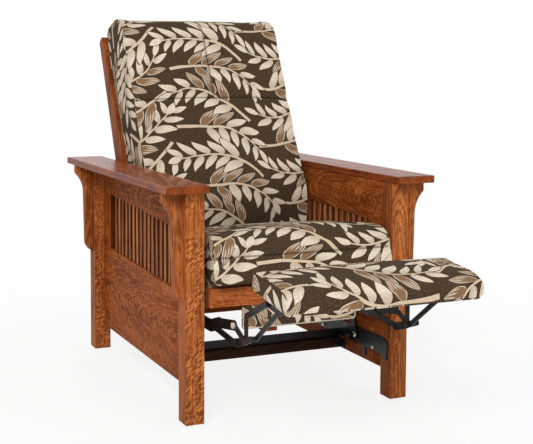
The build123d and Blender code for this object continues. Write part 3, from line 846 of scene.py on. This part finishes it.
class Cushion:
    """One cushion in a flat frame: x across, s along its length, n up from its base."""

    def __init__(self, node, angle, side=1):
        along = Vector((0, cos(radians(angle)), sin(radians(angle))))
        across = Vector((side, 0, 0))
        turn = Matrix((across, along, across.cross(along))).transposed().to_4x4()
        points = [turn.inverted() @ v.co for v in nodes[node].data.vertices]
        corner = Vector((0, min(p.y for p in points), min(p.z for p in points)))
        self.node = node
        self.to_world = turn @ Matrix.Translation(corner)
        self.half = max(p.x for p in points)
        self.length = max(p.y for p in points) - corner.y
        self.solid = bpy.data.meshes.new(node + " flat")
        solid = bmesh.new()
        solid.from_mesh(nodes[node].data)
        bmesh.ops.transform(solid, matrix=self.to_world.inverted(), verts=solid.verts)
        bmesh.ops.remove_doubles(solid, verts=solid.verts, dist=same_place)
        bmesh.ops.recalc_face_normals(solid, faces=solid.faces)
        self.surface = BVHTree.FromBMesh(solid)
        self.find_edges(solid)
        solid.to_mesh(self.solid)
        solid.free()
        self.find_profile()

    def find_edges(self, solid):
        """The points of the sharp edges that run along the cushion."""
        sharp = [e for e in solid.edges
                 if len(e.link_faces) == 2 and e.calc_face_angle() > sharp_edge]
        lines = [e for e in sharp
                 if abs(e.verts[0].co.x - e.verts[1].co.x) < 0.5 * e.calc_length()]
        points = {tuple(round(c, 6) for c in v.co) for e in lines for v in e.verts}
        self.edge_points = np.array(sorted(points))

    def find_profile(self):
        """The middle's outline: up the front end, over the top and down the other end."""
        tops = []
        for i in range(profile_steps + 1):
            s = self.length * i / profile_steps
            s = min(max(s, profile_margin), self.length - profile_margin)
            tops.append((s, self.surface.ray_cast(Vector((0, s, 1)), Vector((0, 0, -1)))[0].z))
        self.line = np.array([(0, 0), (0, tops[0][1])] + tops[1:-1]
                             + [(self.length, tops[-1][1]), (self.length, 0)])
        self.run = np.concatenate([[0], np.cumsum(np.hypot(*np.diff(self.line, axis=0).T))])

    def distance_over(self, s, n):
        """How far along the outline the nearest point to each place is."""
        place = np.stack([s, n], axis=1)
        best = np.full(len(place), np.inf)
        result = np.zeros(len(place))
        for a, b, start in zip(self.line, self.line[1:], self.run):
            step = b - a
            size = np.hypot(*step)
            share = np.clip(((place - a) @ step) / size**2, 0, 1)
            gap = np.hypot(*(a + share[:, None] * step - place).T)
            nearer = gap < best
            best = np.where(nearer, gap, best)
            result = np.where(nearer, start + share * size, result)
        return result

    def side_line(self, side, low=0.0, high=1.0):
        """The edge of a side panel, in order round the cushion, between two shares of the way."""
        p = self.edge_points
        at_end = (p[:, 1] < base_reach) | (p[:, 1] > self.length - base_reach)
        p = p[(p[:, 0] * side > side_share * self.half) & ((p[:, 2] > side_foot) | at_end)]
        way = self.distance_over(p[:, 1], p[:, 2])
        order = np.argsort(way)
        share = way[order] / self.run[-1]
        p = p[order][(share >= low) & (share <= high)]
        return even_line([Vector(q) for q in p], line_step, rounds=6)

    def base_line(self, side):
        """The lower edge of a side panel."""
        p = self.edge_points
        p = p[(p[:, 0] * side > side_share * self.half) & (p[:, 2] < base_reach)]
        return even_line([Vector(q) for q in p[np.argsort(p[:, 1])]], line_step)

    def at(self, x, way):
        """The point of the surface at one x, at a distance along the outline."""
        s, n = [np.interp(way, self.run, self.line[:, k]) for k in (0, 1)]
        return self.surface.find_nearest(Vector((x, s, n)))[0]

    def cross_line(self, way):
        """A line straight across the cushion, at a distance along its outline."""
        return [self.at(x, way) for x in np.linspace(-self.half, self.half, cross_points)]

    def middle_line(self, start, end):
        """A line along the cushion's middle, between two distances along its outline."""
        return [self.at(0, way) for way in np.linspace(start, end, middle_points)]


seat_slope = 8.0
back_lean = 29.1
tip_angle = 7.3
seat_bed = Cushion("seat_cushion", -seat_slope)
back_bed = Cushion("back_cushion", 90 - back_lean)
pad_bed = Cushion("footrest_pad", 180 + tip_angle, side=-1)
for bed in (seat_bed, back_bed, pad_bed):
    print(bed.node, "half width", round(bed.half, 3), "length", round(bed.length, 3),
          "edge points", len(bed.edge_points), "outline", round(bed.run[-1], 3))

# %% [markdown]
# ## Blowing a cushion up
# The remeshed copy starts a few millimetres inside the solid, so that the swollen panels end near
# it. Points near a seam are pinned. The swelling is capped, and cut down towards an end where a
# neighbour leaves no room.

# %% Blow up
voxel = 6 * mm
pin_reach = 7 * mm
held_reach, free_reach = 6 * mm, 40 * mm
base_height = 3 * mm
least_room = 0.1
pressure = 4.0
cloth_frames = 20


def rows_of_three(items, key):
    """A vector of each item, as a row."""
    flat = np.empty(len(items) * 3)
    items.foreach_get(key, flat)
    return flat.reshape(-1, 3)


def coordinates(obj):
    """The places of an object's points."""
    return rows_of_three(obj.data.vertices, "co")


def normals(obj):
    """The directions of an object's points."""
    return rows_of_three(obj.data.vertex_normals, "vector")


def set_coordinates(obj, points):
    """Move the points of an object."""
    obj.data.vertices.foreach_set("co", points.ravel())
    obj.data.update()


def seam_distance(points, lines):
    """How far each point is from the nearest point of any line."""
    spots = [p for line in lines for p in line]
    search = KDTree(len(spots))
    for i, place in enumerate(spots):
        search.insert(place, i)
    search.balance()
    return np.array([search.find(p)[2] for p in points])


def swell(obj, pinned):
    """Run the cloth simulation and give back where the points end."""
    group = obj.vertex_groups.new(name="pinned")
    group.add([int(i) for i in np.nonzero(pinned)[0]], 1.0, "REPLACE")
    cloth = obj.modifiers.new("cloth", "CLOTH")
    cloth.settings.vertex_group_mass = "pinned"
    cloth.settings.use_pressure = True
    cloth.settings.uniform_pressure_force = pressure
    cloth.settings.effector_weights.gravity = 0
    cloth.settings.quality = 4
    cloth.settings.tension_stiffness = 12
    cloth.settings.compression_stiffness = 12
    cloth.settings.bending_stiffness = 0.6
    cloth.collision_settings.use_collision = False
    cloth.point_cache.frame_end = cloth_frames
    for number in range(1, cloth_frames + 1):
        bpy.context.scene.frame_set(number)
    depsgraph = bpy.context.evaluated_depsgraph_get()
    result = coordinates(obj.evaluated_get(depsgraph)).copy()
    obj.modifiers.remove(cloth)
    obj.vertex_groups.clear()
    bpy.context.scene.frame_set(1)
    return result


def blow_up(bed, name, seams, cap, shrink=5 * mm, side_cap=5 * mm, tight_end=0, tight_share=0):
    """The cushion with its panels swollen between its seams, less towards a tight end.

    The tight end is 0 or 1, and the share is how much of the length has less room."""
    obj = baked(modify(show(name, bed.solid.copy()), "REMESH", mode="VOXEL", voxel_size=voxel))
    obj = baked(modify(obj, "SMOOTH", iterations=4))
    start = coordinates(obj)
    distance = seam_distance(start, seams)
    free = np.clip((distance - held_reach) / free_reach, 0, 1)
    on_base = start[:, 2] < base_height
    inner = start - normals(obj) * (shrink * free * ~on_base)[:, None]
    set_coordinates(obj, inner)
    move = swell(obj, (distance < pin_reach) | on_base) - inner
    size = np.linalg.norm(move, axis=1)
    move *= (np.minimum(size, cap) / np.maximum(size, 1e-9))[:, None]
    if tight_share:
        from_end = np.abs(start[:, 1] - tight_end * bed.length)
        room = np.clip(from_end / (tight_share * bed.length), least_room, 1)
        move *= room[:, None]
    move[:, 0] = np.clip(move[:, 0], -side_cap, side_cap)
    print(name, "points", len(start), "largest swelling mm", round(size.max() / mm, 1))
    set_coordinates(obj, inner + move)
    return baked(modify(obj, "SMOOTH", iterations=3))


# %% [markdown]
# ## The cloth's map, the seams and the piping
# The map measures the cloth in metres: across the cushion, and along its outline. Side panels are
# cut separately, so they have a map of their own and the leaves break at the piping, as on the real
# cover.

# %% Map, grooves and piping
side_shift = (0.31, 0.17)
side_facing, base_facing = 0.6, -0.7
seam_reach = 12 * mm
seam_step, groove_step = 1.5 * mm, 2 * mm
groove_depth, groove_width = 2 * mm, 3.5 * mm
pucker_height, pucker_reach = 0.9 * mm, 16 * mm
puckers_per_metre = 42
piping_radius, piping_lift = 2.6 * mm, 0.6 * mm
stitch_step, stitch_aside, stitch_lift = 4 * mm, 5 * mm, 0.2 * mm
stitch_sizes = {"Pitch": 6.5 * mm, "Length": 2.4 * mm, "Radius": 0.55 * mm}
cushion_fill, trim_fill = 0.85, 0.9
wrap_height = 22 * mm


def loop_points(mesh):
    """The number of the point at each corner of each face."""
    corners = np.empty(len(mesh.loops), dtype=int)
    mesh.loops.foreach_get("vertex_index", corners)
    return corners


def lay_cloth(mesh, table):
    """The cloth's map, from a place on the cloth for each corner of each face."""
    mesh.uv_layers.new(name="cloth").data.foreach_set("uv", table.ravel())


def map_cloth(obj, bed):
    """Lay the cloth on a cushion, or on its piping, while it is flat."""
    x, s, n = coordinates(obj).T
    over = np.stack([x, bed.distance_over(s, n)], axis=1)
    beside = np.stack([s, n], axis=1) + side_shift
    below = np.stack([x, -s], axis=1)
    corners = loop_points(obj.data)
    table = np.empty((len(corners), 2))
    for face in obj.data.polygons:
        facing = bed.surface.find_nearest(face.center)[1]
        at_side, at_base = abs(facing.x) > side_facing, facing.z < base_facing
        source = beside if at_side else below if at_base else over
        span = slice(face.loop_start, face.loop_start + face.loop_total)
        table[span] = source[corners[span]]
    lay_cloth(obj.data, table)


def mark_seams(obj, lines):
    """Store how near each point is to a sewn seam: one on it, none beyond its reach."""
    near = np.zeros(len(obj.data.vertices))
    if lines:
        lines = [even_line(line, seam_step, rounds=1) for line in lines]
        near = np.clip(1 - seam_distance(coordinates(obj), lines) / seam_reach, 0, 1)
    store(obj, "seam", near)


def groove(obj, line, valley, valley_width):
    """Draw the surface in along a line: a narrow seam, with a wider valley round it."""
    points = coordinates(obj)
    distance = seam_distance(points, [even_line(line, groove_step, rounds=1)])
    sink = groove_depth * np.exp(-((distance / groove_width) ** 2))
    sink += valley * np.exp(-((distance / valley_width) ** 2))
    set_coordinates(obj, points - normals(obj) * sink[:, None])


def pucker(obj, lines):
    """Small gathers that fade away from the seams."""
    points = coordinates(obj)
    wave = np.array([noise_at(Vector(p) * puckers_per_metre) for p in points])
    fade = np.exp(-seam_distance(points, lines) / pucker_reach)
    set_coordinates(obj, points + normals(obj) * (pucker_height * wave * fade)[:, None])


def along_lines(name, lines, tree, **sizes):
    """What a tree of Geometry Nodes makes along several lines."""
    points, edges = [], []
    for line in lines:
        edges += [(i, i + 1) for i in range(len(points), len(points) + len(line) - 1)]
        points += line
    return grown(add_mesh(name, points, edges=edges), tree, **sizes)


def surface_of(obj):
    """A search tree on an object's faces."""
    return BVHTree.FromPolygons([v.co for v in obj.data.vertices],
                                [p.vertices for p in obj.data.polygons])


def lifted(line, surface, lift):
    """A line laid on a surface and lifted off it."""
    found = [surface.find_nearest(p)[:2] for p in line]
    return [near + facing * lift for near, facing in found]


def stitched(line, surface):
    """Two rows of stitches, one on each side of a seam."""
    rows = []
    for side in (-stitch_aside, stitch_aside):
        row = []
        for a, b in zip(line, line[1:]):
            near, facing = surface.find_nearest(a)[:2]
            row.append(near + facing.cross((b - a).normalized()) * side)
        rows.append(even_line(lifted(row, surface, stitch_lift), stitch_step, rounds=1))
    return rows


def dress(bed, name, body, seams, piped, grooved=(), valley=0, valley_width=1, sewn=(), wrap=0,
          **swelling):
    """A finished cushion: swollen, mapped, seamed, piped and put in its place."""
    cushion = blow_up(bed, name, seams, **swelling)
    map_cloth(cushion, bed)
    if wrap:
        points = coordinates(cushion)
        points[:, 2] -= wrap * np.clip(1 - points[:, 2] / wrap_height, 0, 1)
        set_coordinates(cushion, points)
    cushion = smooth(baked(modify(cushion, "SUBSURF", levels=1, render_levels=1)))
    paint(cushion, leaf_weave)
    mark_seams(cushion, grooved)
    for line in grooved:
        groove(cushion, line, valley, valley_width)
    pucker(cushion, seams)
    surface = surface_of(cushion)
    piping = smooth(along_lines(name + "_piping", [lifted(p, surface, piping_lift) for p in piped],
                                tube_tree, Radius=piping_radius, Material=leaf_weave))
    map_cloth(piping, bed)
    pieces = [(cushion, cushion_fill), (piping, trim_fill)]
    if sewn:
        rows = [row for line in sewn for row in stitched(line, surface)]
        pieces.append((along_lines(name + "_stitches", rows, stitch_tree, **stitch_sizes,
                                   Material=thread_brown), trim_fill))
    for piece, fill in pieces:
        piece.data.transform(bed.to_world)
        piece.data.update()
        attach(piece, body)
    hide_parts(bed.node)
    print(name, "faces", len(cushion.data.polygons), "piping faces", len(piping.data.polygons))


# %% [markdown]
# ## Seat cushion
# The top runs over the front without a seam. Its side panels are piped, piping runs round its lower
# edge, and a seam crosses the front face a little above the middle. It swells less at the rear,
# where the back cushion presses.

# %% Seat cushion
seat_front_seam = 70 * mm
seat_sides = [seat_bed.side_line(side, 0.0, 0.97) for side in (1, -1)]
seat_base = [seat_bed.base_line(side) for side in (1, -1)] + [seat_bed.cross_line(0.5 * mm)]
seat_seam = seat_bed.cross_line(seat_front_seam)
dress(seat_bed, "seat_cushion_cover", "seat", seat_sides + seat_base + [seat_seam],
      seat_sides + seat_base, [seat_seam], 3 * mm, 18 * mm,
      cap=26 * mm, tight_end=1, tight_share=0.25)

# %% [markdown]
# ## Back cushion
# A seam crosses the back cushion below its head, and a double-stitched seam runs from there over
# the top. It swells less at the foot, behind the seat cushion.

# %% Back cushion
back_cross_seam = 0.62
back_sides = [back_bed.side_line(side, 0.03, 1.0) for side in (1, -1)]
cross_way = back_bed.run[1] + back_cross_seam * back_bed.length
back_middle = back_bed.middle_line(cross_way, back_bed.run[-1])
back_seams = [back_bed.cross_line(cross_way), back_middle]
dress(back_bed, "back_cushion_cover", "back", back_sides + back_seams, back_sides, back_seams,
      5 * mm, 26 * mm, sewn=[back_middle], cap=24 * mm, tight_end=0, tight_share=0.3)

# %% [markdown]
# ## Footrest pad
# The pad is a thin cushion with piped ends, rolled at the front and at the rear. Its cover wraps
# down over the board's edges.

# %% Footrest pad
board_thickness = 12.3 * mm
pad_sides = [pad_bed.side_line(side) for side in (1, -1)]
pad_base = [pad_bed.base_line(side) for side in (1, -1)]
dress(pad_bed, "footrest_pad_cover", "footrest", pad_sides + pad_base, pad_sides,
      wrap=board_thickness, cap=12 * mm, shrink=1 * mm, side_cap=3 * mm)

# %% [markdown]
# ## Flap
# A thin padded flap in the same cloth hangs under the seat rail and hides the links. Its solid is
# remeshed finely and softened, so that the cloth looks drawn round its edges, and a light cord
# edges it.

# %% Flap
flap_voxel = 2.5 * mm
flap_puff, puff_power = 3 * mm, 4
cloth_offset, edge_share = 0.1, 0.3
edge_inset = 3 * mm
cord_radius = 1.8 * mm
hem_points, hem_step = 40, 4 * mm

low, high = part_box("front_flap")
flap = show("flap_cover", nodes["front_flap"].data.copy())
modify(flap, "WELD", merge_threshold=same_place)
modify(flap, "REMESH", mode="VOXEL", voxel_size=flap_voxel)
flap = baked(modify(flap, "SMOOTH", iterations=8))
places = coordinates(flap)
centre_x = (low.x + high.x) / 2
across = 1 - np.abs((places[:, 0] - centre_x) / (high.x - centre_x)) ** puff_power
upward = np.sin(pi * np.clip((places[:, 2] - low.z) / (high.z - low.z), 0, 1))
in_front = places[:, 1] < low.y + flap_voxel
places[:, 1] -= np.where(in_front, flap_puff * across * upward, 0)
set_coordinates(flap, places)
x, y, z = coordinates(flap).T
on_cloth = np.stack([x + cloth_offset, z + y * edge_share], axis=1)
lay_cloth(flap.data, on_cloth[loop_points(flap.data)])
smooth(paint(flap, leaf_weave))
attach(flap, "seat")
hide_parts("front_flap")

left, right = low.x + edge_inset, high.x - edge_inset
top, bottom = high.z - 2 * edge_inset, low.z + edge_inset
corners = [Vector((x, low.y, z))
           for x, z in ((left, top), (left, bottom), (right, bottom), (right, top))]
hem = [a.lerp(b, i / hem_points) for a, b in zip(corners, corners[1:])
       for i in range(hem_points)]
hem = even_line(hem + corners[3:], hem_step, rounds=3)
flap_cord = smooth(along_lines("flap_cord", [lifted(hem, surface_of(flap), 0)], tube_tree,
                               Radius=cord_radius, Material=cream_cord))
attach(flap_cord, "seat")
print("flap faces", len(flap.data.polygons), "cord faces", len(flap_cord.data.polygons))

# %% [markdown]
# ## Gap cloth
# A strip of the same cloth is stapled to the seat deck and to the underside of the back's bottom
# rail. It hides the gap that opens behind the seat when the back leans. It lies slack at rest.

# %% Gap cloth
gap_half_width = 240 * mm
cloth_thickness = 1.4 * mm
gap_path = [(0.2280, 0.3112), (0.2460, 0.3089), (0.2610, 0.3085), (0.2745, 0.3210),
            (0.2845, 0.3430), (0.2885, 0.3640), (0.2925, 0.3700), (0.3010, 0.3652)]
gap_step, columns = 3 * mm, 60
gap_offset = 0.4

gap_side = even_line([Vector((0, y, z)) for y, z in gap_path], gap_step, rounds=3)
way = distances(gap_side)
stride = columns + 1
points = [(-gap_half_width + 2 * gap_half_width * i / columns, p.y, p.z)
          for p in gap_side for i in range(stride)]
faces = [(i, i + 1, i + 1 + stride, i + stride)
         for j in range(len(gap_side) - 1) for i in range(j * stride, j * stride + columns)]
gap_cloth = add_mesh("gap_cloth", points, faces)
corners = loop_points(gap_cloth.data)
lay_cloth(gap_cloth.data, np.stack([coordinates(gap_cloth)[corners, 0] + cloth_offset,
                                    way[corners // stride] + gap_offset], axis=1))
modify(gap_cloth, "SOLIDIFY", thickness=cloth_thickness, offset=0)
gap_cloth = smooth(paint(baked(gap_cloth), leaf_weave))
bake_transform(gap_cloth)
print("gap cloth length mm", round(float(way[-1]) / mm, 1))

# %% [markdown]
# ## Studio
# The photograph's background is white. The floor is a pale diffuse sheet that keeps a soft shadow
# near the chair and turns to plain white further out. To the camera the world is white too.

# %% Floor
floor_half = 20.0
floor_tone = (0.9, 0.9, 0.9, 1)
shadow_reach = (0.9, 2.6)
least_white = 0.84


def seen_rays(tree):
    """One where a ray comes from the camera, or through gloss or glass."""
    path = add_node(tree, "ShaderNodeLightPath", {}).outputs
    seen = Num(path["Is Camera Ray"])
    for name in ("Is Glossy Ray", "Is Transmission Ray"):
        seen = seen.most(Num(path[name]))
    return seen


def floor_material():
    """Pale, with a soft shadow near the chair, and white further out."""
    material, tree, surface = shader("pale floor", {
        "Roughness": 0.9, "Specular IOR Level": 0.0, "Base Color": floor_tone})
    length = add_node(tree, "ShaderNodeVectorMath", {0: coordinate(tree, "Object")},
                      operation="LENGTH")
    far = ramp(Num(length.outputs["Value"]), *shadow_reach, least_white, 1.0)
    white = add_node(tree, "ShaderNodeEmission", {})
    mixer = add_node(tree, "ShaderNodeMixShader", {
        0: far * seen_rays(tree), 1: surface.outputs[0], 2: white.outputs[0]})
    wire(tree.nodes["Material Output"], {"Surface": mixer.outputs[0]})
    return material


corners = [(-1, -1), (1, -1), (1, 1), (-1, 1)]
floor = add_mesh("floor", [(x * floor_half, y * floor_half, 0) for x, y in corners],
                 [(0, 1, 2, 3)])
paint(floor, floor_material())
print("floor metres", 2 * floor_half)

# %% Lamps and world


def softbox(name, place, size, power, aim=(0, 0, 0.5)):
    """A square area lamp that points at the chair."""
    lamp = bpy.data.lights.new(name, "AREA")
    lamp.shape = "SQUARE"
    lamp.size = size
    lamp.energy = power
    obj = show(name, lamp)
    obj.location = place
    obj.rotation_euler = (Vector(aim) - Vector(place)).to_track_quat("-Z", "Y").to_euler()


lamps = [("key", (-2.4, -3.2, 3.0), 1.6, 132), ("fill", (3.0, -2.6, 1.8), 2.4, 36),
         ("rim", (0.5, 3.2, 2.6), 2.0, 30)]
world_light = 0.46
for lamp in lamps:
    softbox(*lamp)
world = bpy.data.worlds.new("studio")
bpy.context.scene.world = world
world.use_nodes = True
air = world.node_tree
wire(air.nodes["Background"], {"Color": (1, 1, 1, 1),
                               "Strength": ramp(seen_rays(air), 0.0, 1.0, world_light, 1.0)})
print("lamps", len(lamps))
